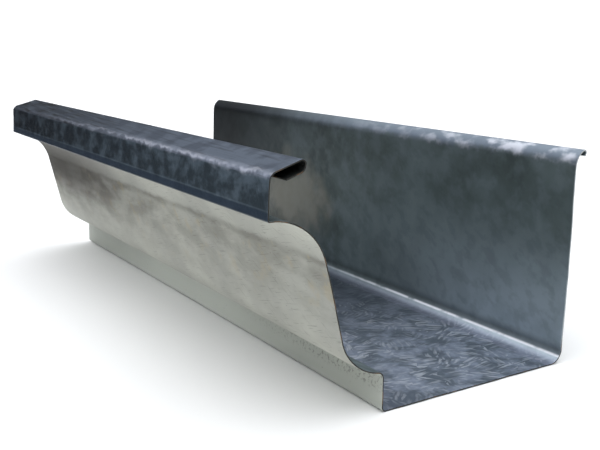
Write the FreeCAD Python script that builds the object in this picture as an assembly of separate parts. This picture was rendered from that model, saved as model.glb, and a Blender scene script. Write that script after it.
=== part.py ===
"""K-style (ogee) eaves gutter, a short straight section of the 5 inch size.

One strip of galvanised steel sheet is roll formed into the whole section: a back wall with a small
turned-out lip, a flat bottom, a short front riser, an ogee front (a round belly below, a hollow cove
above) and a hooked bead along the front rim. The two ends are plain saw-square cuts.

Frame: +X runs along the gutter, +Y points from the front to the building, +Z is up. The origin is
under the middle of the overall box, on the surface that the bottom rests on.

Every corner below lies on the weather side of the sheet (front, underside and back), where two flats
would meet if the bend were sharp. Heights start at the underside, and depths (Y) start at the front
face of the riser's foot. A bend radius is measured on the weather side too.
"""
import FreeCAD, Part
import math
import os

from FreeCAD import Vector

# Driving dimensions, in millimetres and degrees
length = 304.8            # 12 in cut of stock gutter
sheet = 0.55              # 26 gauge galvanised steel, zinc included

bottom_width = 82.55      # 3 1/4 in, riser foot to back wall
back_height = 77.3        # underside to the bend of the turned-out lip
back_lean = 3.6           # the back wall opens past square by this much spring-back
back_lip = 4.0            # length of the turned-out lip, up to its rolled edge
back_lip_rise = 28.0      # slope of the lip above the horizontal
back_lip_radius = 6.0
roll_turn = 80.0          # the lip's edge is rolled under in two such turns
roll_radius = 0.6
roll_flat = 1.05
roll_end = 1.2
back_foot_radius = 6.0    # bend from the bottom up into the back wall
riser_foot_radius = 2.0

riser_height = 13.6       # foot of the front, up to the crease under the belly
riser_lean = 3.0          # the riser tips back towards the building
crease_radius = 1.8
shelf_rise = 14.0         # slope of the sheet where the belly starts, above the horizontal

web_lean = 11.2           # slope off plumb of the flat between belly and cove
web_foot_depth = -12.1    # where that flat, carried down, would meet the height of the crease
belly_radius = 18.0
cove_radius = 19.2

bead_depth = -40.0        # front of the bead's face
bead_foot = 69.9          # height of the face's lower edge
bead_foot_radius = 0.9
face_height = 14.7
face_lean = 4.5           # the face tips back towards the building
face_radius = 3.8
rim_width = 14.3          # top of the bead, from the face to the rim
rim_rise = 16.5           # slope of the bead's top, up towards the rim
rim_radius = 1.6
curl_drop = 5.0           # from the rim down to the start of the return lip
curl_lean = 15.0
curl_radius = 3.4
return_lip = 6.7
return_fall = 17.0        # slope of the return lip, down towards the face


def along(start, degrees, distance):
    """The point at a distance from start, in the direction given in degrees from +Y towards +Z."""
    turn = math.radians(degrees)
    return Vector(0, start.y + distance * math.cos(turn), start.z + distance * math.sin(turn))


def crossing(first, first_degrees, second, second_degrees):
    """Where the line through first meets the line through second."""
    a = along(Vector(0, 0, 0), first_degrees, 1)
    b = along(Vector(0, 0, 0), second_degrees, 1)
    gap = second - first
    reach = (gap.y * b.z - gap.z * b.y) / (a.y * b.z - a.z * b.y)
    return first + a * reach


def corner_list():
    """(sharp corner, bend radius) from the back wall's lip round to the bead's return lip."""
    back_foot = Vector(0, bottom_width, 0)
    back_top = along(back_foot, 90 - back_lean, back_height / math.cos(math.radians(back_lean)))
    lip_top = along(back_top, back_lip_rise, back_lip)
    lip_side = along(lip_top, back_lip_rise - roll_turn, roll_flat)
    lip_edge = along(lip_side, back_lip_rise - 2 * roll_turn, roll_end)

    riser_foot = Vector(0, 0, 0)
    crease = along(riser_foot, 90 - riser_lean, riser_height)

    web_foot = Vector(0, web_foot_depth, crease.z)
    web_degrees = 90 + web_lean
    belly = crossing(crease, 180 - shelf_rise, web_foot, web_degrees)
    face_foot = Vector(0, bead_depth, bead_foot)
    cove = crossing(face_foot, 0, web_foot, web_degrees)

    face_top = along(face_foot, 90 - face_lean, face_height)
    rim = along(face_top, rim_rise, rim_width)
    curl = along(rim, 270 - curl_lean, curl_drop)
    return_edge = along(curl, 180 + return_fall, return_lip)

    return [
        (lip_edge, 0),
        (lip_side, roll_radius),
        (lip_top, roll_radius),
        (back_top, back_lip_radius),
        (back_foot, back_foot_radius),
        (riser_foot, riser_foot_radius),
        (crease, crease_radius),
        (belly, belly_radius),
        (cove, cove_radius),
        (face_foot, bead_foot_radius),
        (face_top, face_radius),
        (rim, rim_radius),
        (curl, curl_radius),
        (return_edge, 0),
    ]


def bend(before, corner, after, radius):
    """Centre, first tangent point, last tangent point and turning sense (+1 left) of one bend."""
    arriving = (corner - before).normalize()
    leaving = (after - corner).normalize()
    sense = 1 if arriving.y * leaving.z - arriving.z * leaving.y > 0 else -1
    turn = arriving.getAngle(leaving)
    setback = radius * math.tan(turn / 2)
    first = corner - arriving * setback
    last = corner + leaving * setback
    centre = first + Vector(0, -arriving.z, arriving.y) * radius * sense
    return centre, first, last, sense


def side_of_sheet(corners, depth):
    """Edges of the sheet's face that lies a depth below the weather side, lines and arcs in turn."""
    bends = []
    for k in range(1, len(corners) - 1):
        corner, radius = corners[k]
        bends.append(bend(corners[k - 1][0], corner, corners[k + 1][0], radius))

    def sunk(point, heading):
        """The point moved through the sheet, square to the heading."""
        return point + Vector(0, heading.z, -heading.y) * depth

    edges = []
    start = corners[0][0]
    for centre, first, last, sense in bends:
        heading = (first - start).normalize()
        edges.append(Part.LineSegment(sunk(start, heading), sunk(first, heading)))
        reach = first.distanceToPoint(centre) + sense * depth
        middle = ((first - centre) + (last - centre)).normalize()
        radial_first = (first - centre).normalize()
        radial_last = (last - centre).normalize()
        edges.append(
            Part.Arc(centre + radial_first * reach, centre + middle * reach, centre + radial_last * reach)
        )
        start = last
    end = corners[-1][0]
    heading = (end - start).normalize()
    edges.append(Part.LineSegment(sunk(start, heading), sunk(end, heading)))
    return edges


def sheet_section(corners):
    """The closed cut face of the sheet: weather side, trough side and the two thin edges."""
    weather = side_of_sheet(corners, 0)
    trough = side_of_sheet(corners, sheet)
    closing = [
        Part.LineSegment(weather[0].StartPoint, trough[0].StartPoint),
        Part.LineSegment(weather[-1].EndPoint, trough[-1].EndPoint),
    ]
    shapes = [curve.toShape() for curve in weather + trough + closing]
    wire = Part.Wire(Part.__sortEdges__(shapes))
    return Part.Face(wire)


def gutter():
    """The section carried along the gutter, then moved so that the origin is under its middle."""
    solid = sheet_section(corner_list()).extrude(Vector(length, 0, 0))
    box = solid.BoundBox
    solid.translate(Vector(-box.Center.x, -box.Center.y, -box.ZMin))
    return solid


os.makedirs("parts", exist_ok=True)
body = gutter()
body.exportStep("parts/gutter_section.step")

box = body.BoundBox
print("valid", body.isValid(), "solids", len(body.Solids), "volume", round(body.Volume, 1))
print("X", round(box.XMin, 2), round(box.XMax, 2), "Y", round(box.YMin, 2), round(box.YMax, 2))
print("Z", round(box.ZMin, 2), round(box.ZMax, 2))
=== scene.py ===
# %% [markdown]
# A short length of eaves gutter, roll formed from one strip of hot-dip galvanised steel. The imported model
# holds its exact shape and size, and it is the frame that everything here is built on. This script gives the
# same sheet a finer surface and its zinc finish, and sets a floor, soft light and a camera round it. All of it
# is worked out in numpy and nodes, so it comes out the same each time.

# %% Load the frame
import math

import bpy
import numpy as np
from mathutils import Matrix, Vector


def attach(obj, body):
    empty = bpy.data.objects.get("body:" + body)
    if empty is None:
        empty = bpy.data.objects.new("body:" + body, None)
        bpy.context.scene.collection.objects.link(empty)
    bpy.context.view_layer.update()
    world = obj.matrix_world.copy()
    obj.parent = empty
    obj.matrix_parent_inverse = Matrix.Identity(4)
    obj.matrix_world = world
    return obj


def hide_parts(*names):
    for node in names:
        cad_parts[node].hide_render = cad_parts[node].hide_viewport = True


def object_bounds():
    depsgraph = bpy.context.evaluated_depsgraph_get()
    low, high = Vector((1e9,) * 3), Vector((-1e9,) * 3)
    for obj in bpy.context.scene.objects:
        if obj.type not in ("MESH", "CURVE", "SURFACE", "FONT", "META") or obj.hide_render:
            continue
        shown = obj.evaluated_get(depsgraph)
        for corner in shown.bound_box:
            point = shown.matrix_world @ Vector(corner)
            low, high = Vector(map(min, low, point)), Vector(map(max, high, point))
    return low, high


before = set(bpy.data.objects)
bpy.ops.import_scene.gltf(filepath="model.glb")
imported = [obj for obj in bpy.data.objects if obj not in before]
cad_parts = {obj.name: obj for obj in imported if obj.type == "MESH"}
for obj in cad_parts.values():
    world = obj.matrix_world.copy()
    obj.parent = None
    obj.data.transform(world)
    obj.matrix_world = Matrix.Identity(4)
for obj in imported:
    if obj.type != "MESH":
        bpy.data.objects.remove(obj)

cad_low, cad_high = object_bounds()
print("CAD box in mm:", [round(1000 * v, 2) for v in (*cad_low, *cad_high)])

MM = 0.001
half_length = cad_high[0] / MM
print("half the length:", round(half_length, 1), "mm")

# %% [markdown]
# The section of the sheet. A roll former bends flats into each other, so the section is a row of corners
# where two flats would meet, each with a bend radius. It could be a Bezier curve drawn by hand, but lines
# and tangent arcs are what the rollers really leave, and they keep the sheet's thickness the same all round.
# Y is measured from the foot of the front riser and Z from the underside, both on the weather side, in mm.

# %% Sizes of the back and the bottom
SHEET = 0.55
BOTTOM_WIDTH = 82.55
BACK_HEIGHT = 77.3
BACK_LEAN = 3.6
BACK_LIP = 4.0
BACK_LIP_RISE = 28.0
BACK_LIP_RADIUS = 6.0
ROLL_TURN = 80.0
ROLL_RADIUS = 0.6
ROLL_FLAT = 1.05
ROLL_END = 1.2
BACK_FOOT_RADIUS = 6.0
print("bottom", BOTTOM_WIDTH, "mm wide, back", BACK_HEIGHT, "mm high")

# %% Sizes of the front
RISER_FOOT_RADIUS = 2.0
RISER_HEIGHT = 13.6
RISER_LEAN = 3.0
CREASE_RADIUS = 1.8
SHELF_RISE = 14.0
WEB_LEAN = 11.2
WEB_FOOT_DEPTH = -12.1
BELLY_RADIUS = 18.0
COVE_RADIUS = 19.2
print("belly of radius", BELLY_RADIUS, "mm and cove of", COVE_RADIUS, "mm")

# %% Sizes of the bead along the front edge
BEAD_DEPTH = -40.0
BEAD_FOOT = 69.9
BEAD_FOOT_RADIUS = 0.9
FACE_HEIGHT = 14.7
FACE_LEAN = 4.5
FACE_RADIUS = 3.8
RIM_WIDTH = 14.3
RIM_RISE = 16.5
RIM_RADIUS = 1.6
CURL_DROP = 5.0
CURL_LEAN = 15.0
CURL_RADIUS = 3.4
RETURN_LIP = 6.7
RETURN_FALL = 17.0
print("bead", FACE_HEIGHT, "mm high on its face and", RIM_WIDTH, "mm across its top")


# %% Points placed by direction and distance
def along(start, degrees, distance):
    """The point at a distance from start, in the direction given in degrees from +Y towards +Z."""
    turn = math.radians(degrees)
    return np.array(start) + distance * np.array([math.cos(turn), math.sin(turn)])


def crossing(first, first_degrees, second, second_degrees):
    """Where two lines meet: first plus a times (gap x b) / (a x b), with a and b the unit directions of the
    lines, gap the step from first to second, and x the cross product."""
    a = along((0, 0), first_degrees, 1)
    b = along((0, 0), second_degrees, 1)
    gap = np.array(second) - np.array(first)
    return first + a * (gap[0] * b[1] - gap[1] * b[0]) / (a[0] * b[1] - a[1] * b[0])


# %% Corners of the back
back_foot = np.array([BOTTOM_WIDTH, 0.0])
back_slope = BACK_HEIGHT / math.cos(math.radians(BACK_LEAN))
back_top = along(back_foot, 90 - BACK_LEAN, back_slope)
lip_top = along(back_top, BACK_LIP_RISE, BACK_LIP)
lip_side = along(lip_top, BACK_LIP_RISE - ROLL_TURN, ROLL_FLAT)
lip_edge = along(lip_side, BACK_LIP_RISE - 2 * ROLL_TURN, ROLL_END)
print("back stands", round(back_top[1], 1), "mm high")

# %% Corners of the front
riser_foot = np.array([0.0, 0.0])
crease = along(riser_foot, 90 - RISER_LEAN, RISER_HEIGHT)
web_foot = np.array([WEB_FOOT_DEPTH, crease[1]])
belly = crossing(crease, 180 - SHELF_RISE, web_foot, 90 + WEB_LEAN)
face_foot = np.array([BEAD_DEPTH, BEAD_FOOT])
cove = crossing(face_foot, 0, web_foot, 90 + WEB_LEAN)
face_top = along(face_foot, 90 - FACE_LEAN, FACE_HEIGHT)
rim = along(face_top, RIM_RISE, RIM_WIDTH)
curl = along(rim, 270 - CURL_LEAN, CURL_DROP)
return_edge = along(curl, 180 + RETURN_FALL, RETURN_LIP)
print("front reaches", round(riser_foot[0] - face_foot[0], 1), "mm past the riser")

# %% The row of corners with their bend radii
corners = {
    "lip_edge": (lip_edge, 0),
    "lip_side": (lip_side, ROLL_RADIUS),
    "lip_top": (lip_top, ROLL_RADIUS),
    "back_top": (back_top, BACK_LIP_RADIUS),
    "back_foot": (back_foot, BACK_FOOT_RADIUS),
    "riser_foot": (riser_foot, RISER_FOOT_RADIUS),
    "crease": (crease, CREASE_RADIUS),
    "belly": (belly, BELLY_RADIUS),
    "cove": (cove, COVE_RADIUS),
    "face_foot": (face_foot, BEAD_FOOT_RADIUS),
    "face_top": (face_top, FACE_RADIUS),
    "rim": (rim, RIM_RADIUS),
    "curl": (curl, CURL_RADIUS),
    "return_edge": (return_edge, 0),
}
print("corners of the section:", len(corners))

# %% [markdown]
# From corners to an even row of points. Every flat is cut into short steps and every bend into small
# angles, fine enough that a highlight runs round it without a kink. A Bevel modifier could round a sharp
# section too, but here each point also carries the heading of the sheet, so that the other face is found by
# one step square to it, through the thickness.

# %% Walk along the flats and bends
FLAT_STEP = 3.5
BEND_STEP = math.radians(5.0)
LEAST_BEND_POINTS = 6


def turned(vector, angles):
    """The vector turned by each of the angles: (y cos a - z sin a, y sin a + z cos a)."""
    cos, sin = np.cos(angles), np.sin(angles)
    return np.stack([cos * vector[0] - sin * vector[1], sin * vector[0] + cos * vector[1]], 1)


def walk(row):
    """Points and unit headings along the row of corners. A bend of radius r that turns by t starts
    r tan(t/2) before its corner; its points are the bend's centre plus its first spoke, turned in equal
    steps up to t."""
    points, headings = [], []
    start = row[0][0]
    for (before, _), (corner, radius), after in zip(row, row[1:], [*row[2:], None]):
        arriving = (corner - before) / np.linalg.norm(corner - before)
        turn = 0.0
        if after is not None:
            leaving = (after[0] - corner) / np.linalg.norm(after[0] - corner)
            cross = arriving[0] * leaving[1] - arriving[1] * leaving[0]
            turn = math.atan2(cross, arriving @ leaving)
        setback = radius * math.tan(abs(turn) / 2)
        first = corner - arriving * setback
        pieces = max(1, math.ceil(np.linalg.norm(first - start) / FLAT_STEP))
        share = np.linspace(0, 1, pieces + 1)[:, None]
        points.append(start + (first - start) * share)
        headings.append(np.repeat(arriving[None], len(share), axis=0))
        if after is None:
            break
        side = np.array([-arriving[1], arriving[0]]) * math.copysign(1, turn)
        centre = first + side * radius
        count = max(LEAST_BEND_POINTS, math.ceil(abs(turn) / BEND_STEP) + 1)
        angles = np.linspace(0, turn, count)[1:-1]
        points.append(centre + turned(first - centre, angles))
        headings.append(turned(arriving, angles))
        start = corner + leaving * setback
    return np.concatenate(points), np.concatenate(headings)


section, heading = walk(list(corners.values()))
inward = np.stack([heading[:, 1], -heading[:, 0]], 1)
shift_y = cad_low[1] / MM - section[:, 0].min()
print("points on the section:", len(section), "- moved along Y by", round(shift_y, 2), "mm")

# %% [markdown]
# The developed strip. Before it was bent, the sheet was a flat strip, and every line along the gutter has a
# place across that strip, its developed distance s in mm. Bends, stains and rubbed edges are all placed by s,
# which stays the same whatever the shape, where heights and depths would each need their own sums.

# %% Developed distances
steps = np.linalg.norm(np.diff(section, axis=0), axis=1)
developed = np.concatenate([[0], np.cumsum(steps)])


def s_at(corner):
    """The developed distance of the point nearest a named corner."""
    return developed[np.argmin(np.linalg.norm(section - corners[corner][0], axis=1))]


s_back_foot, s_riser, s_crease = s_at("back_foot"), s_at("riser_foot"), s_at("crease")
s_face, s_top, s_rim = s_at("face_foot"), s_at("face_top"), s_at("rim")
print("strip width in mm:", round(developed[-1], 1))
print("bends at s =", [round(v, 1) for v in (s_back_foot, s_riser, s_crease, s_face, s_top, s_rim)])

# %% [markdown]
# The sheet's own unevenness. It could be extruded flat and left so, but thin rolled sheet is never quite
# flat: its wide flats sway by a tenth of a millimetre or two, and that sway is what makes its reflections
# wander. The bends hold the sheet stiff, so the sway dies out there. All of it goes inwards, so the sheet
# keeps inside its size.

# %% Stations along the length, closer at the ends for the burr
STATION = 4.0
BURR = 0.07
END_MARGIN = 1.0
CLOSE = np.array([0.0, BURR, 0.3])
reach = half_length - END_MARGIN
inner_x = np.linspace(-reach, reach, round(2 * half_length / STATION))
along_x = np.concatenate([CLOSE - half_length, inner_x, half_length - CLOSE[::-1]])
X, S = np.meshgrid(along_x, developed, indexing="ij")
print("stations along the length:", len(along_x))

# %% Sway of the flats
SLOW_SWAY = 0.10
QUICK_SWAY = 0.035
STIFF = 40.0


def sway(x, s):
    """How far the sheet stands off its true place, in mm, never below 0. Slow waves of about 145 mm and quick
    ones of about 70 mm cross, each a sine along x times a sine across s."""
    slow = np.sin(x / 23.0 + 0.8 * np.sin(s / 31.0)) * np.sin(s / 17.0 + x / 71.0)
    quick = np.sin(x / 11.0 + s / 19.0 + 1.3) * np.sin(s / 9.0 - x / 37.0)
    return SLOW_SWAY * (1 + slow) + QUICK_SWAY * (1 + quick)


turning = np.abs(np.gradient(np.arctan2(heading[:, 1], heading[:, 0])))
turning = np.minimum(turning, 2 * np.pi - turning) / np.gradient(developed)
flatness = np.convolve(np.exp(-turning * STIFF), np.ones(5) / 5, mode="same")
lift = sway(X, S) * flatness[None]
print("sway in mm, up to", round(lift.max(), 3))

# %% [markdown]
# Handling has left the strip a little out of true. The ogee stands out at the far end, the riser runs
# slightly askew under the length, and the back is pushed out halfway up near its end. A Lattice modifier
# could bend it so by hand. Here each is a push that grows towards one end and fades across the strip, so
# its size is known in mm and no crease appears that the real sheet hasn't.

# %% Out of true by a few tenths
FAR_OGEE_OUT = 0.8
FAR_RISER_OUT = 0.6
NEAR_RISER_IN = 0.3
NEAR_BACK_OUT = 0.35
END_POWER = 1.5


def ramp(value, start, end):
    """0 up to start, 1 from end on, and a smooth 3t^2 - 2t^3 between them."""
    t = np.clip((value - start) / (end - start), 0, 1)
    return t * t * (3 - 2 * t)


far_share = np.clip(-X / half_length, 0, 1) ** END_POWER
near_share = np.clip(X / half_length, 0, 1) ** END_POWER
OGEE_FADE = 14
over_ogee = ramp(S, s_crease, s_crease + OGEE_FADE) * (1 - ramp(S, s_face - OGEE_FADE, s_face))
over_back = ramp(S, 10, 35) * (1 - ramp(S, 50, 76))
by_riser = ramp(S, s_riser - 40, s_riser - 6) * (1 - ramp(S, s_crease, s_crease + 10))
lift = lift - FAR_OGEE_OUT * far_share * over_ogee - NEAR_BACK_OUT * near_share * over_back
push_y = (NEAR_RISER_IN * near_share - FAR_RISER_OUT * far_share) * by_riser
print("pushed along Y in mm:", round(push_y.min(), 2), "to", round(push_y.max(), 2))

# %% [markdown]
# The cut ends. The length was cut off with snips by hand, so its ends wander by a tenth or two, and at the
# far end the bead was cut a little short and on the slant. A Boolean cut would leave slivers on such a thin
# sheet, so the stations are slid along X instead, and the trim is shared out over the last few centimetres.

# %% Ends cut by hand
FAR_BEAD_SHORT = 1.2
FAR_BEAD_SLANT = 6.0
TRIM_POWER = 6
wander = np.abs(0.12 * np.sin(S / 5.3) + 0.08 * np.sin(S / 2.1 + 1.0) * np.sin(S / 13.0))
SLANT_START = 2
slant = np.clip((S - s_top + SLANT_START) / (s_rim - s_top + SLANT_START), 0, 1)
far_trim = FAR_BEAD_SHORT * ramp(S, s_face - 6, s_face) + FAR_BEAD_SLANT * slant + wander
toward_far = np.clip(-X / half_length, 0, 1) ** TRIM_POWER
toward_near = np.clip(X / half_length, 0, 1) ** TRIM_POWER
X = X + toward_far * far_trim - toward_near * wander
print("most cut off the far end in mm:", round(far_trim.max(), 2))


# %% [markdown]
# The closed skin. Each face of the sheet is the section carried along the length. The weather face and the
# trough face join along their two long raw edges into one ring, and two rows of quads close the cut ends. It
# could be one face with a Solidify modifier, but two faces keep the burr that the snips leave on the ends.

# %% The two faces of the sheet
def skin(depth):
    """One face, as section point plus (depth + lift) times the inward normal, at every station. The ends
    get a burr: the weather face is pressed in by it and the trough face out."""
    burr = np.zeros(len(along_x))
    burr[[0, -1]] = BURR if depth < SHEET / 2 else -BURR
    off = depth + lift + burr[:, None]
    y = section[None, :, 0] + inward[None, :, 0] * off + shift_y + push_y
    z = section[None, :, 1] + inward[None, :, 1] * off
    return np.stack([X, y, z], axis=2)


weather_face = skin(0.0)
trough_face = skin(SHEET)
ring = np.concatenate([weather_face, trough_face[:, ::-1]], axis=1)
n_x, n_ring = ring.shape[:2]
n_s = len(section)
print("ring of", n_ring, "points at", n_x, "stations")

# %% Quads round the ring and over the cut ends
ids = np.arange(n_x * n_ring).reshape(n_x, n_ring)
wrap = np.roll(ids, -1, axis=1)
sides = np.stack([ids[:-1], ids[1:], wrap[1:], wrap[:-1]], axis=2).reshape(-1, 4)


def cap(row):
    """Quads across a cut end, from each step of the weather face to the same step of the trough face."""
    outer = row[:n_s]
    inner = row[n_s:][::-1]
    return np.stack([outer[:-1], outer[1:], inner[1:], inner[:-1]], axis=1)


quads = np.concatenate([sides, cap(ids[0]), cap(ids[-1])[:, ::-1]])
vertices = np.clip(ring.reshape(-1, 3) * MM, cad_low, cad_high)

# %% The mesh
mesh = bpy.data.meshes.new("gutter_sheet")
mesh.from_pydata(vertices, [], quads.tolist())
mesh.update()
sheet = bpy.data.objects.new("gutter_sheet", mesh)
bpy.context.scene.collection.objects.link(sheet)
print("gutter_sheet:", len(mesh.vertices), "vertices,", len(mesh.polygons), "quads")

# %% Which way the faces look, from the signed volume
face_count = len(mesh.polygons)
normal, centre, area = np.empty(face_count * 3), np.empty(face_count * 3), np.empty(face_count)
mesh.polygons.foreach_get("normal", normal)
mesh.polygons.foreach_get("center", centre)
mesh.polygons.foreach_get("area", area)
volume = (normal.reshape(-1, 3) * centre.reshape(-1, 3)).sum(1) @ area / 3
print("signed volume in cm3:", round(volume * 1e6, 2))
if volume < 0:
    mesh.flip_normals()

# %% Bends stay smooth and the cut edges crisp
SHARP = 35
mesh.set_sharp_from_angle(angle=math.radians(SHARP))
print("edges sharper than", SHARP, "degrees are left crisp")

# %% [markdown]
# The unrolled map. The finish needs to know where on the flat strip a point lies. U runs along the gutter and
# V across the strip, both in metres, so the zinc spangle and the stains follow the sheet round its bends
# without stretching, which Object coordinates would not do. The trough face lies a metre further along V, so
# its pattern differs from the other's, and the finish can tell the two apart.

# %% Unrolled map
TROUGH_OFFSET = 1.0
ring_v = np.concatenate([developed, developed[::-1]]) * MM
ring_v[n_s:] += TROUGH_OFFSET
point_uv = np.stack(np.broadcast_arrays(along_x[:, None] * MM, ring_v[None]), axis=2).reshape(-1, 2)
corner_point = np.empty(len(mesh.loops), dtype=np.int32)
mesh.loops.foreach_get("vertex_index", corner_point)
flat_map = mesh.uv_layers.new(name="unrolled")
flat_map.data.foreach_set("uv", point_uv[corner_point].ravel().astype(np.float32))
print("unrolled map: U", round(2 * half_length), "mm, V", round(developed[-1]), "mm")

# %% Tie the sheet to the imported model
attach(sheet, "root")
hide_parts("gutter_section")
print(sheet.name, "stands for gutter_section")

# %% [markdown]
# How a finish is put together. A material is a tree of nodes: a place on the sheet goes in, patterns and
# colours are worked out from it, and a shader turns them into reflected light. It could be painted as an
# image, but patterns that are worked out stay sharp at any distance and keep their real size in mm. Colours
# are written as sRGB hex, as a painter picks them, and turned to the linear light that the renderer adds up.

# %% One function for colours and one for nodes
def linear(hex_colour):
    """sRGB hex to linear RGBA: v/12.92 below 0.04045, else ((v + 0.055)/1.055) to the power 2.4."""
    v = np.array([int(hex_colour[k:k + 2], 16) for k in (1, 3, 5)]) / 255
    v = np.where(v < 0.04045, v / 12.92, ((v + 0.055) / 1.055) ** 2.4)
    return (*v.tolist(), 1.0)


def add(kind, inputs=(), **settings):
    """Adds a node with its settings to the tree in hand and gives its first open output, if it has any.
    Inputs are filled by name, or else in order: a socket is linked, a hex colour is turned to linear, and a
    number is set."""
    made = tree.nodes.new("ShaderNode" + kind)
    for name, value in settings.items():
        setattr(made, name, value)
    open_inputs = [socket for socket in made.inputs if socket.enabled]
    for key, value in inputs.items() if isinstance(inputs, dict) else enumerate(inputs):
        socket = made.inputs[key] if isinstance(key, str) else open_inputs[key]
        if isinstance(value, bpy.types.NodeSocket):
            tree.links.new(value, socket)
        else:
            socket.default_value = linear(value) if isinstance(value, str) else value
    return next((socket for socket in made.outputs if socket.enabled), None)


print("white is", linear("#ffffff"))


# %% Shares, bands and colours laid over each other
def share(*factors):
    """The product of the factors. (value, start, end) counts 0 at start and 1 at end, by 3t^2 - 2t^3 with t
    the part of the way, and (value, start, end, a, b) goes from a to b in the same way."""
    product = None
    for factor in factors:
        if isinstance(factor, tuple):
            factor = add("MapRange", factor, interpolation_type="SMOOTHSTEP")
        product = factor if product is None else add("Math", (product, factor), operation="MULTIPLY")
    return product


def band(value, start, end, soft):
    """1 where the value lies between start and end, and 0 outside, changing over a width soft at both."""
    half = soft / 2
    return share((value, start - half, start + half), (value, end + half, end - half))


def lay(ground, colour, *factors):
    """A colour laid over the ground, as thickly as the product of the factors says."""
    return add("Mix", (share(*factors), ground, colour), data_type="RGBA")


def wandering(value, pattern, reach):
    """The value moved by a pattern, up to half of reach either way: value + reach (pattern - 1/2)."""
    moved = add("Math", (value, -reach / 2), operation="ADD")
    return add("Math", (pattern, reach, moved), operation="MULTIPLY_ADD")


def blotches(size, along=1.0, across=1.0, turn=0.0, detail=3.0, rough=0.5):
    """Noise from 0 to 1 in blotches about size mm wide, drawn out along or across the gutter by those
    factors, and turned by degrees: the place is turned, divided by the blotch's size and read off."""
    scale = (MM * size * along, MM * size * across, 1.0)
    mapping = {"Vector": place, "Rotation": (0, 0, -math.radians(turn)), "Scale": scale}
    on_blotch = add("Mapping", mapping, vector_type="TEXTURE")
    return add("TexNoise", (on_blotch, 1.0, detail, rough), noise_dimensions="2D")


# %% [markdown]
# Hot-dip galvanised steel. The strip went through molten zinc, which froze on it in flat crystals, the
# spangle. Each crystal grew as a fern of needles in a direction of its own, so under light some glint and
# some don't. Years outside have dulled the zinc, and rain and dirt have worked on each side in its own way.
# The few bright places on the zinc are painted highlights, and some darker ones are painted shade. The tree
# starts from the place on the strip, as x along it and s across it.

# %% Where on the strip
zinc = bpy.data.materials.new("hot_dip_galvanised_steel")
zinc.use_nodes = True
tree = zinc.node_tree
tree.nodes.clear()
place = add("UVMap", uv_map="unrolled")
u = add("SeparateXYZ", (place,))
v = u.node.outputs["Y"]
x = add("Math", (u, 1 / MM), operation="MULTIPLY")
trough = add("Math", (v, TROUGH_OFFSET / 2), operation="GREATER_THAN")
weather = add("Math", (1.0, trough), operation="SUBTRACT")
trough_start = add("Math", (trough, -TROUGH_OFFSET / MM), operation="MULTIPLY")
s = add("Math", (v, 1 / MM, trough_start), operation="MULTIPLY_ADD")
FAR, NEAR = -half_length, half_length
print("place on the strip from", len(tree.nodes), "nodes")

# %% Clouds, patches and grit
CLOUD, PATCH, GRIT = 38.0, 11.0, 1.5
clouds = blotches(CLOUD, detail=4.0)
patches = blotches(PATCH, rough=0.55)
grit = blotches(GRIT, rough=0.7)
print("blotches of", CLOUD, PATCH, "and", GRIT, "mm")

# %% [markdown]
# The spangle. Cells of the Voronoi pattern stand for crystals, a centimetre across as on heavy old coatings.
# Plain noise would be quicker, but it has no borders and no direction. The borders are shaken by noise, since
# crystals never meet in straight lines. Inside each, the place is turned by the crystal's own random angle
# and stretched, and a second Voronoi pattern there gives its leaves. The real needles are far finer than
# this, and are drawn as coarse as they need to be to show.

# %% Zinc crystals
GRAIN = 9.0
SHAKE_SIZE, BORDER_SHAKE = 0.8, 0.9
shake = add("TexNoise", (place, 1 / (MM * GRAIN * SHAKE_SIZE), 2.0), noise_dimensions="2D")
shake = add("VectorMath", (shake.node.outputs["Color"], (0.5, 0.5, 0.5)), operation="SUBTRACT")
border_shake = add("VectorMath", (shake, MM * GRAIN * BORDER_SHAKE), operation="SCALE")
crystal_place = add("VectorMath", (place, border_shake), operation="ADD")
crystal = add("TexVoronoi", (crystal_place, 1 / (MM * GRAIN)), voronoi_dimensions="2D")
chance = add("SeparateColor", (crystal.node.outputs["Color"],))
crystal_tone = chance.node.outputs["Green"]
print("crystals of", GRAIN, "mm")

# %% Leaves inside each crystal
LEAF_LONG, LEAF_WIDE, LEAF_SHAKE = 0.80, 0.15, 0.25
angle = add("Math", (chance, 2 * math.pi), operation="MULTIPLY")
leaf_shake = add("VectorMath", (shake, MM * GRAIN * LEAF_SHAKE), operation="SCALE")
leaf_place = add("VectorMath", (place, leaf_shake), operation="ADD")
leaf_place = add("VectorRotate", {"Vector": leaf_place, "Angle": angle}, rotation_type="Z_AXIS")
leaf_scale = (1 / (MM * GRAIN * LEAF_LONG), 1 / (MM * GRAIN * LEAF_WIDE), 1.0)
leaf_place = add("VectorMath", (leaf_place, leaf_scale), operation="MULTIPLY")
leaf = add("TexVoronoi", (leaf_place, 1.0), voronoi_dimensions="2D")
leaf_tone = add("SeparateColor", (leaf.node.outputs["Color"],)).node.outputs["Blue"]
ribs = add("TexNoise", (leaf_place, 1.6, 2.0), noise_dimensions="2D")
ribs = add("Math", (ribs, 1.4, 0.3), operation="MULTIPLY_ADD")
needles = share(leaf_tone, (leaf, 0.75, 0.05), ribs)
glinting = share((needles, 0.10, 0.75))
print("leaves", round(GRAIN * LEAF_LONG, 1), "mm long and", round(GRAIN * LEAF_WIDE, 2), "mm wide")
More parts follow.
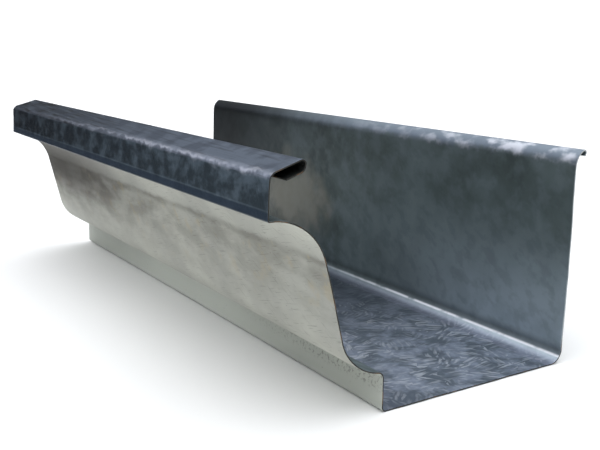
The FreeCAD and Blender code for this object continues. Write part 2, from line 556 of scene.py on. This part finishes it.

# %% [markdown]
# The back wall. On the trough side it is a soft bluish grey. Painted shade darkens it towards the far end,
# painted light makes it paler low down at the near end, and one pale oval patch is a painted reflection.
# Each tone is laid over the last by a share of its own, as glazes are in painting, because that is how such
# stains build up, and each can be moved by itself. The painted reflection is an oval whose rim is moved
# about by noise.

# %% Zinc of the back wall
WALL_DARK, WALL_LIGHT, WALL_PATCH, WALL_SHADE = "#5f6b6a", "#7b898b", "#909ea3", "#343f42"
WALL_NEAR_LIGHT, WALL_FAR_SHADE, WALL_REFLECTION = "#c4d2dc", "#10191f", "#a09e92"
REFLECTION_X, REFLECTION_S, REFLECTION_LONG, REFLECTION_WIDE = -50.0, 50.0, 40.0, 26.0
wall = lay(WALL_DARK, WALL_LIGHT, (clouds, 0.3, 0.7))
# Painted light: the wall is made paler low down towards the near end.
wall = lay(wall, WALL_NEAR_LIGHT, trough, (x, 0.0, 130.0), (s, 25.0, 72.0), 0.75)
wall = lay(wall, WALL_PATCH, (patches, 0.40, 0.66), 0.32)
wall = lay(wall, WALL_SHADE, (blotches(6.0, along=1.6, turn=-30.0, rough=0.6), 0.46, 0.66), 0.16)
# Painted shade: the wall darkens towards the far end.
wall = lay(wall, WALL_FAR_SHADE, trough, (x, 10.0, -140.0), 0.94)
# Painted reflection: a pale oval patch on the wall, laid on as a colour.
reflection_x = add("Math", (x, 1 / REFLECTION_LONG, -REFLECTION_X / REFLECTION_LONG), operation="MULTIPLY_ADD")
reflection_s = add("Math", (s, 1 / REFLECTION_WIDE, -REFLECTION_S / REFLECTION_WIDE), operation="MULTIPLY_ADD")
from_reflection = add("Math", (share(reflection_x, reflection_x), share(reflection_s, reflection_s)), operation="ADD")
from_reflection = wandering(from_reflection, blotches(16.0, detail=4.0, rough=0.55), 1.6)
wall = lay(wall, WALL_REFLECTION, trough, (from_reflection, 1.2, 0.1), 0.72)
print("tide mark at x", REFLECTION_X, "s", REFLECTION_S, "mm")

# %% [markdown]
# The bottom. Water stood here and brought the crystals out as leaves in tufts on a darker ground, and their
# paleness is a painted glint. Towards the riser and the far end it is darker by painted shade. A slow noise
# says where the tufts are, since leaves of one strength all over would look like a print.

# %% Zinc of the bottom
BOTTOM_DARK, BOTTOM_LIGHT, BOTTOM_SHADE = "#5d6873", "#8e98a8", "#3f4757"
BOTTOM_FAR_SHADE, LEAF_GLINT = "#28313b", "#dadfe8"
bottom = lay(BOTTOM_DARK, BOTTOM_LIGHT, (patches, 0.38, 0.62))
bottom = lay(bottom, BOTTOM_SHADE, (blotches(3.0, rough=0.6), 0.35, 0.65), 0.35)
tufts = blotches(24.0, detail=2.0)
# Painted glint: the crystals' leaves are made pale, more so in the tufts.
bottom = lay(bottom, LEAF_GLINT, glinting, (tufts, 0.42, 0.60, 0.18, 0.56))
# Painted shade: darker towards the riser.
bottom = lay(bottom, BOTTOM_SHADE, trough, (s, s_riser - 26.0, s_riser), 0.45)
# Painted shade: darker towards the far end.
bottom = lay(bottom, BOTTOM_FAR_SHADE, trough, (x, 130.0, 10.0), 0.87)
on_bottom = share((s, s_back_foot - 1.0, s_back_foot + 5.0))
inner = lay(wall, bottom, on_bottom)
print("wall and bottom meet at s", round(s_back_foot), "mm")

# %% [markdown]
# The sides that saw least weather. Behind the ogee the zinc is like the back wall's, with a little more dirt.
# On the outer back and the underside the crystals still show as faint light and dark cells, so there the
# colour comes from each crystal's own random tone.

# %% Trough side of the ogee
behind_ogee = share(trough, (s, s_riser + 2.0, s_crease + 6.0))
hidden = lay(WALL_DARK, WALL_LIGHT, (clouds, 0.3, 0.7))
hidden = lay(hidden, WALL_PATCH, (patches, 0.40, 0.66), 0.32)
hidden = lay(hidden, WALL_SHADE, (blotches(7.0, along=1.8, rough=0.6), 0.42, 0.66), 0.35)
inner = lay(inner, hidden, behind_ogee)
print("trough side of the ogee from s", round(s_riser + 2), "mm on")

# %% Outer back and underside
OUTER_PALE, OUTER_DARK = "#8f9a9d", "#717c81"
outer = lay(OUTER_DARK, OUTER_PALE, (crystal_tone, 0.15, 0.85))
outer = lay(outer, WALL_PATCH, (patches, 0.40, 0.66), 0.35)
# Painted glint: a faint share of pale crystal leaves.
outer = lay(outer, LEAF_GLINT, glinting, 0.12)
inner = lay(inner, outer, weather, 0.62)
print("outer tones", OUTER_DARK, "to", OUTER_PALE)

# %% [markdown]
# The back bend. A dark line of painted shade lies on the wall just above the fillet, a thin bright line along
# the bend is a painted highlight, and below it a broad pale band is a painted highlight too, dimmed by painted
# shade towards the far end. The lines could be cut into the mesh, but as bands of s they follow the bend by
# themselves.

# %% Lines along the back bend
FILLET_SHADE, BEND_SHADE, BEND_HIGHLIGHT, BEND_GLINT = "#1f272a", "#4a525e", "#a9acc4", "#f0f1f6"
foot = s_back_foot
fillet_shade_band = share((s, foot - 7.0, foot - 3.0), band(s, foot - 9.0, foot - 1.0, 0.8))
# Painted shade: a dark line on the wall just above the fillet.
inner = lay(inner, FILLET_SHADE, trough, fillet_shade_band, 0.5)
# Painted shade over the bend, stronger towards the far end.
inner = lay(inner, BEND_SHADE, trough, band(s, foot - 0.4, foot + 5.5, 2.0), (x, 120.0, -20.0, 0.1, 0.6))
# Painted highlight: a broad pale band below the bend, brighter towards the near end.
inner = lay(inner, BEND_HIGHLIGHT, trough, band(s, foot + 0.6, foot + 6.5, 2.0), (x, -60.0, 120.0), 0.24)
# Painted highlight: a thin bright line along the bend, in patches towards the near end.
bend_glint_share = share((x, -40.0, 110.0), (patches, 0.25, 0.5), 0.8)
inner = lay(inner, BEND_GLINT, trough, band(s, foot - 1.4, foot - 0.4, 0.8), bend_glint_share)
print("lines along the bend at s", round(foot, 1), "mm")

# %% [markdown]
# The turned-out lip. A painted highlight makes it bright at the near end, in frayed patches, and painted
# shade makes it dull and nearly black at the far end. Both are placed by s and x. Noise moves the edge of
# the highlight, so that it isn't ruled.

# %% Lip of the back wall
LIP_FAR_SHADE, LIP, LIP_HIGHLIGHT = "#10161a", "#7b8694", "#dfe2ea"
FRAY = 5.0
# Painted shade: the lip goes nearly black towards the far end.
inner = lay(inner, LIP_FAR_SHADE, trough, (s, 12.0, 6.0), (x, 60.0, -150.0), 0.75)
fray = wandering(s, blotches(FRAY, rough=0.6), FRAY)
on_lip = share(trough, (fray, 9.5, 6.0))
# Painted sheen: the lip is made lighter towards the near end.
inner = lay(inner, LIP, on_lip, (x, -110.0, 60.0), 0.78)
# Painted highlight: bright frayed patches on the lip towards the near end.
lip_highlight_blotches = blotches(6.0, along=1.8)
lip_highlight_share = share((lip_highlight_blotches, 0.40, 0.66), band(fray, 2.6, 8.5, 2.5), (x, -25.0, 150.0), 0.80)
inner = lay(inner, LIP_HIGHLIGHT, on_lip, lip_highlight_share)
print("trough side done,", len(tree.nodes), "nodes")

# %% [markdown]
# The bead. Its face and top have weathered to a near-black patina, smeared by years of run-off, and painted
# shade darkens them further towards the far end. Streaks on the top run along the gutter, as the rollers drew
# them. The patina is a thick oxide, so it shines less like metal and more like slate. Patterns on it are
# stretched along the gutter, because the real smears are. A second material could be given to these faces,
# but then its border would be as hard as the mesh's edges.

# %% Face of the bead
FACE_FAR_SHADE, FACE_NEAR, FACE_SMEAR_AND_GLINT, FACE_LOW_REFLECTION = "#15202a", "#333f47", "#667683", "#2f3d4d"
smear = blotches(4.5, along=2.4, across=1.7, turn=-8.0, detail=5.0, rough=0.60)
# Painted shade: the face darkens from the near end to the far end.
bead_face = lay(FACE_FAR_SHADE, FACE_NEAR, (x, FAR, NEAR))
bead_face = lay(bead_face, FACE_SMEAR_AND_GLINT, (smear, 0.38, 0.72), (x, FAR, NEAR, 0.28, 0.70))
# Painted reflection: a darker band along the foot of the face, with a thin pale line above it that is a
# painted highlight.
bead_face = lay(bead_face, FACE_LOW_REFLECTION, (s, s_face + 3.2, s_face + 2.6), 0.85)
bead_face = lay(bead_face, FACE_SMEAR_AND_GLINT, band(s, s_face + 3.0, s_face + 3.5, 0.4), 0.35)
print("face of the bead", round(s_top - s_face, 1), "mm high")

# %% Top of the bead
TOP_SHADE_AND_STREAK, TOP_NEAR, TOP_STREAK, TOP_PATCH = "#0c1115", "#5b6573", "#5c6672", "#343d4a"
drawn = blotches(2.2, along=16.0, across=0.5, turn=2.0, rough=0.6)
# Painted shade: the top darkens from the near end to the far end; its darkest colour also draws dark streaks.
bead_top = lay(TOP_SHADE_AND_STREAK, TOP_NEAR, (x, -125.0, 120.0))
bead_top = lay(bead_top, TOP_STREAK, (drawn, 0.46, 0.60), (x, FAR, NEAR, 0.55, 0.35))
bead_top = lay(bead_top, TOP_SHADE_AND_STREAK, (drawn, 0.46, 0.32), (x, FAR, NEAR, 0.75, 0.45))
bead_top = lay(bead_top, TOP_PATCH, (patches, 0.42, 0.60), 0.55)
on_face = share(band(s, s_face - 0.4, s_top - 1.2, 0.4))
bead = lay(bead_top, bead_face, on_face)
print("top of the bead", round(s_rim - s_top, 1), "mm wide")

# %% Bend of the bead, with a painted highlight towards the near end
BEAD_BEND_HIGHLIGHT, BEAD_BEND_GLINT = "#b9bfcd", "#d6d9e4"
flame = blotches(5.0, along=1.6, turn=25.0, rough=0.5)
licked = wandering(s, flame, 4.5)
# Painted highlight: a soft pale band along the bead's bend and a thin bright line in it, both stronger towards
# the near end.
soft_highlight = share((x, -150.0, 60.0), (flame, 0.30, 0.70), (x, FAR, NEAR, 0.10, 0.40))
bead = lay(bead, BEAD_BEND_HIGHLIGHT, band(licked, s_top - 0.8, s_top + 1.8, 2.8), soft_highlight)
crisp_glint = share((x, -120.0, 60.0), (patches, 0.32, 0.62), 0.32)
bead = lay(bead, BEAD_BEND_GLINT, band(licked, s_top - 0.1, s_top + 0.9, 1.1), crisp_glint)
print("bead done,", len(tree.nodes), "nodes")

# %% [markdown]
# The ogee front faced the weather. Its zinc has gone chalky, a pale matt carbonate, up to the line where the
# bead's shelter begins. Grime hangs below that line, thicker towards the far end, with warm tea-coloured
# spots in it. Handling left hair-thin scratches and small dark pits, more of them at the near end. The
# scratches are drawn half a millimetre wide, or they would not show. Real ones could be cut into the mesh,
# but they don't catch the light by depth, only by the dirt in them, so colour is enough.

# %% Chalky zinc and its grime
CHALK_DARK, CHALK_PALE, GRIME, GRIME_LINE, TEA = "#b4b5ad", "#c4c5bb", "#6a655a", "#57534a", "#bdb08e"
DIRT_LINE, GRIME_DEPTH = 226.0, 34.0
chalk = lay(CHALK_DARK, CHALK_PALE, (clouds, 0.3, 0.7))
mottle = blotches(9.0, along=2.6, detail=5.0, rough=0.58)
wavy = wandering(s, blotches(12.0, detail=4.0, rough=0.6), 3.0)
under = share((wavy, DIRT_LINE + 0.2, DIRT_LINE - 1.2))
fade = share((s, DIRT_LINE - GRIME_DEPTH, DIRT_LINE - 2.0))
THIN_GRIME = 0.12
thickness = add("Math", (share(fade, (x, 40.0, -150.0, 0.30, 1.05)), THIN_GRIME), operation="ADD")
chalk = lay(chalk, GRIME, under, (mottle, 0.30, 0.68), thickness)
in_line = band(wavy, DIRT_LINE - 2.4, DIRT_LINE + 0.3, 2.0)
chalk = lay(chalk, GRIME_LINE, in_line, (x, 40.0, -150.0, 0.20, 0.40))
chalk = lay(chalk, TEA, under, fade, (blotches(9.0, turn=60.0, rough=0.6), 0.56, 0.72), 0.45)
print("grime hangs", GRIME_DEPTH, "mm below s", DIRT_LINE, "mm")

# %% Scratches and pits
HAIR, PIT, FAR_DARKER = "#6b6a62", "#4a4740", "#4f4c45"
PIT_SPACING = 5.0
falling = blotches(1.3, along=9.0, across=0.35, turn=-14.0, detail=2.0)
rising = blotches(1.3, along=8.0, across=0.35, turn=32.0, detail=2.0)
hair = add("Math", (share((falling, 0.66, 0.74)), share((rising, 0.68, 0.76))), operation="MAXIMUM")
chalk = lay(chalk, HAIR, hair, (x, FAR, NEAR, 0.08, 0.46))
from_pit = add("TexVoronoi", (place, 1 / (MM * PIT_SPACING)), voronoi_dimensions="2D")
pits = share((from_pit, 0.06, 0.03), (patches, 0.5, 0.65))
chalk = lay(chalk, PIT, pits, (x, FAR, NEAR, 0.05, 0.45))
# The upper ogee is made darker towards the far end.
chalk = lay(chalk, FAR_DARKER, (x, 28.0, -125.0), (s, s_crease + 24.0, s_crease + 44.0), 0.91)
print("pits about every", PIT_SPACING, "mm")

# %% Riser under the crease
RISER_DARK, RISER_PALE, RISER_PIT, CREASE_DARK_SPOTS = "#bcc0b8", "#c8ccc3", "#55534b", "#4f4d45"
RISER_MIDDLE_LIGHT = "#e6eae1"
riser = lay(RISER_DARK, RISER_PALE, blotches(9.0, along=4.0, detail=4.0))
# Painted light: the riser is made paler along the middle of its length.
riser = lay(riser, RISER_MIDDLE_LIGHT, band(x, -75.0, 60.0, 90.0), 0.75)
riser = lay(riser, RISER_PIT, pits, 0.3)
chalk = lay(chalk, riser, (s, s_crease + 3.0, s_crease - 0.3))
near_crease = band(s, s_crease - 6.0, s_crease + 0.5, 3.0)
# Darker spots along the crease, towards the near end.
chalk = lay(chalk, CREASE_DARK_SPOTS, near_crease, (grit, 0.52, 0.66), (x, 40.0, 130.0), 0.55)
print("ogee done,", len(tree.nodes), "nodes")

# %% [markdown]
# One material for the whole strip. The inside of the hook is coloured black and dull, a painted shade. Bare
# zinc is a metal, with a roughness of about a half once it has dulled, and its oxide film takes its metallic
# share below 1. Where chalk or patina covers it, the metallic share drops further, as a mineral shines less
# than a metal.
# The crystals stand a few hundredths of a millimetre proud, too little to see from the side, so they are bump.

# %% Colour of the whole strip
MOUTH_SHADE = "#0a0f0c"
on_ogee = share(weather, band(s, s_riser - 0.6, s_face - 0.5, 0.8))
on_bead = share(weather, (s, s_face - 0.9, s_face - 0.4))
in_hook = share(trough, (s, s_top - 3.0, s_top + 5.0))
# Painted shade: the inside of the bead's hook is coloured near black.
colour = lay(inner, MOUTH_SHADE, in_hook)
colour = lay(colour, bead, on_bead)
colour = lay(colour, chalk, on_ogee)
print("colour done,", len(tree.nodes), "nodes")

# %% Roughness, metallic and relief
SPANGLE_HEIGHT = 0.06
ZINC_ROUGH, BEAD_TOP_ROUGH, BEAD_FACE_ROUGH, CHALK_ROUGH, MOUTH_ROUGH = 0.54, 0.34, 0.33, 0.62, 0.9
ZINC_METAL, BEAD_TOP_METAL, BEAD_FACE_METAL, CHALK_METAL, MOUTH_METAL = 0.72, 0.25, 0.30, 0.25, 0.0
with_crystals = add("Math", (on_bottom, behind_ogee), operation="SUBTRACT")
grain = share(needles, add("Math", (with_crystals, 0.9, 0.1), operation="MULTIPLY_ADD"))
rough = add("Math", (patches, -0.12, ZINC_ROUGH), operation="MULTIPLY_ADD")
rough = add("Math", (grain, -0.14, rough), operation="MULTIPLY_ADD")
face_rough = add("Math", (patches, 0.15, BEAD_FACE_ROUGH), operation="MULTIPLY_ADD")
rough = add("Mix", (on_bead, rough, add("Mix", (on_face, BEAD_TOP_ROUGH, face_rough))))
rough = add("Mix", (in_hook, add("Mix", (on_ogee, rough, CHALK_ROUGH)), MOUTH_ROUGH))
metal = add("Mix", (on_bead, ZINC_METAL, add("Mix", (on_face, BEAD_TOP_METAL, BEAD_FACE_METAL))))
metal = add("Mix", (in_hook, add("Mix", (on_ogee, metal, CHALK_METAL)), MOUTH_METAL))
relief = add("Bump", {"Strength": 0.35, "Distance": SPANGLE_HEIGHT * MM, "Height": grain})
surface = {"Base Color": colour, "Metallic": metal, "Roughness": rough, "Normal": relief}
add("OutputMaterial", (add("BsdfPrincipled", surface),))
print(zinc.name, "has", len(tree.nodes), "nodes")

# %% [markdown]
# The cut edge. Snips laid the steel core bare, and without zinc it has gone dark and brown with rust. Rust is
# a mineral, so this one is rough and not metallic. Low on the back wall the edge carries a thin pale line, a
# painted highlight. Across the edge the unrolled map jumps from one face of the sheet to the other, so the
# pattern reads Object coordinates instead.

# %% Sheared steel edge
edge = bpy.data.materials.new("sheared_steel_edge")
edge.use_nodes = True
tree = edge.node_tree
tree.nodes.clear()
STEEL_DARK, STEEL_RUST, EDGE_HIGHLIGHT = "#25241f", "#5c4630", "#b4b8ba"
RUST_SPOT, EDGE_ROUGH = 4.0, 0.8
here = add("TexCoord").node.outputs["Object"]
rust = add("TexNoise", (here, 1 / (MM * RUST_SPOT), 4.0))
bare = lay(STEEL_DARK, STEEL_RUST, (rust, 0.50, 0.66))
parts = add("SeparateXYZ", (here,)).node.outputs
# Painted highlight: a thin pale line on the cut edge, low on the back wall.
bare = lay(bare, EDGE_HIGHLIGHT, (parts["Y"], 0.050, 0.056), (parts["Z"], 0.002, 0.015), 0.9)
surface = {"Base Color": bare, "Metallic": 0.0, "Roughness": EDGE_ROUGH}
add("OutputMaterial", (add("BsdfPrincipled", surface),))
print(edge.name, "has", len(tree.nodes), "nodes")

# %% Which faces are cut edges
mesh.materials.append(zinc)
mesh.materials.append(edge)
round_ring = np.arange(len(sides)) % n_ring
cut = np.ones(len(mesh.polygons), dtype=np.int32)
cut[:len(sides)] = (round_ring == n_s - 1) | (round_ring == n_ring - 1)
mesh.polygons.foreach_set("material_index", cut)
print("faces on the cut edges:", int(cut.sum()))

# %% [markdown]
# The studio. The gutter stands on a plain pale floor. Metal shows what stands round it, so what matters is
# what it mirrors: a black card low in front for the bead to mirror, and a dome that is dark at the horizon
# and bright overhead. White walls far off are there for the camera alone, so that the ground beyond the floor
# is white from every side. The card and the walls throw no shadow.

# %% A flat panel for the stage
scene = bpy.context.scene
scene.view_settings.view_transform = "Standard"


def panel(name, corner_points, colour, roughness, glow=0.0):
    """A flat panel of one face through the corner points, in metres, which isn't part of the object."""
    data = bpy.data.meshes.new(name)
    data.from_pydata(corner_points, [], [tuple(range(len(corner_points)))])
    made = bpy.data.objects.new(name, data)
    scene.collection.objects.link(made)
    finish = bpy.data.materials.new(name + "_finish")
    finish.use_nodes = True
    shader = finish.node_tree.nodes["Principled BSDF"]
    shader.inputs["Base Color"].default_value = linear(colour)
    shader.inputs["Roughness"].default_value = roughness
    shader.inputs["Emission Color"].default_value = linear(colour)
    shader.inputs["Emission Strength"].default_value = glow
    data.materials.append(finish)
    return made


# %% Floor, card and walls
FLOOR = 12.0
floor_corners = [(-FLOOR, -FLOOR, 0), (FLOOR, -FLOOR, 0), (FLOOR, FLOOR, 0), (-FLOOR, FLOOR, 0)]
panel("floor", floor_corners, "#fafaf8", 0.9)
card_corners = [(-3.0, -0.10, 0.004), (0.15, -0.10, 0.004), (0.15, -0.45, 0.40), (-3.0, -0.45, 0.40)]
card = panel("black_card", card_corners, "#101316", 1.0)
card.visible_camera = card.visible_shadow = card.visible_diffuse = False
TENT, TENT_HEIGHT = 11.9, 6.0
tent = [(-TENT, -TENT), (TENT, -TENT), (TENT, TENT), (-TENT, TENT)]
for side, start, end in zip(("front", "right", "back", "left"), tent, tent[1:] + tent[:1]):
    wall_corners = [(*start, 0), (*end, 0), (*end, TENT_HEIGHT), (*start, TENT_HEIGHT)]
    screen = panel("tent_" + side, wall_corners, "#ffffff", 1.0, glow=1.0)
    screen.visible_glossy = screen.visible_diffuse = screen.visible_shadow = False
print("stage of", len(tent) + 2, "panels")

# %% Window light
WINDOW, AIM = Vector((-2.6, -1.38, 1.5)), Vector((0, 0, 0.08))
WINDOW_SIDE, WINDOW_WATTS = 1.1, 7.0
window = bpy.data.lights.new("window", "AREA")
window.size = WINDOW_SIDE
window.energy = WINDOW_WATTS
window.color = linear("#eef0ff")[:3]
lamp = bpy.data.objects.new("window", window)
lamp.location = WINDOW
lamp.rotation_euler = (AIM - WINDOW).to_track_quat("-Z", "Y").to_euler()
scene.collection.objects.link(lamp)
print("window light", round((AIM - WINDOW).length, 2), "m away")

# %% Dome of soft light
DOME_TOP, DOME_EDGE = 2.6, 0.04
DOME_STARTS, DOME_FULL = 0.40, 0.90
world = bpy.data.worlds.new("studio")
scene.world = world
world.use_nodes = True
tree = world.node_tree
upward = add("SeparateXYZ", (add("TexCoord"),)).node.outputs["Z"]
dome = tree.nodes["Background"]
dome.inputs["Color"].default_value = linear("#f2f4f8")
brightness = share((upward, DOME_STARTS, DOME_FULL, DOME_EDGE, DOME_EDGE + DOME_TOP))
tree.links.new(brightness, dome.inputs["Strength"])
print("dome from", DOME_EDGE, "at the horizon to", DOME_EDGE + DOME_TOP, "overhead")

# %% [markdown]
# The camera stands close to the near end, a little above the gutter, and looks along it. So close, the far
# end comes out much smaller than the near end, which a longer lens from further off would flatten.

# %% Camera
CAMERA_PLACE = (0.38912, -0.191992, 0.12854)
CAMERA_TURN = (77.515, 1.582, 59.571)
LENS_MM, SENSOR_MM = 55.91, 36
lens = bpy.data.cameras.new("camera")
lens.lens = LENS_MM
lens.sensor_width = SENSOR_MM
lens.clip_start = 0.01
camera = bpy.data.objects.new("camera", lens)
camera.location = CAMERA_PLACE
camera.rotation_euler = [math.radians(v) for v in CAMERA_TURN]
scene.collection.objects.link(camera)
scene.camera = camera
print("camera", round(camera.location.length, 2), "m from the middle of the gutter")
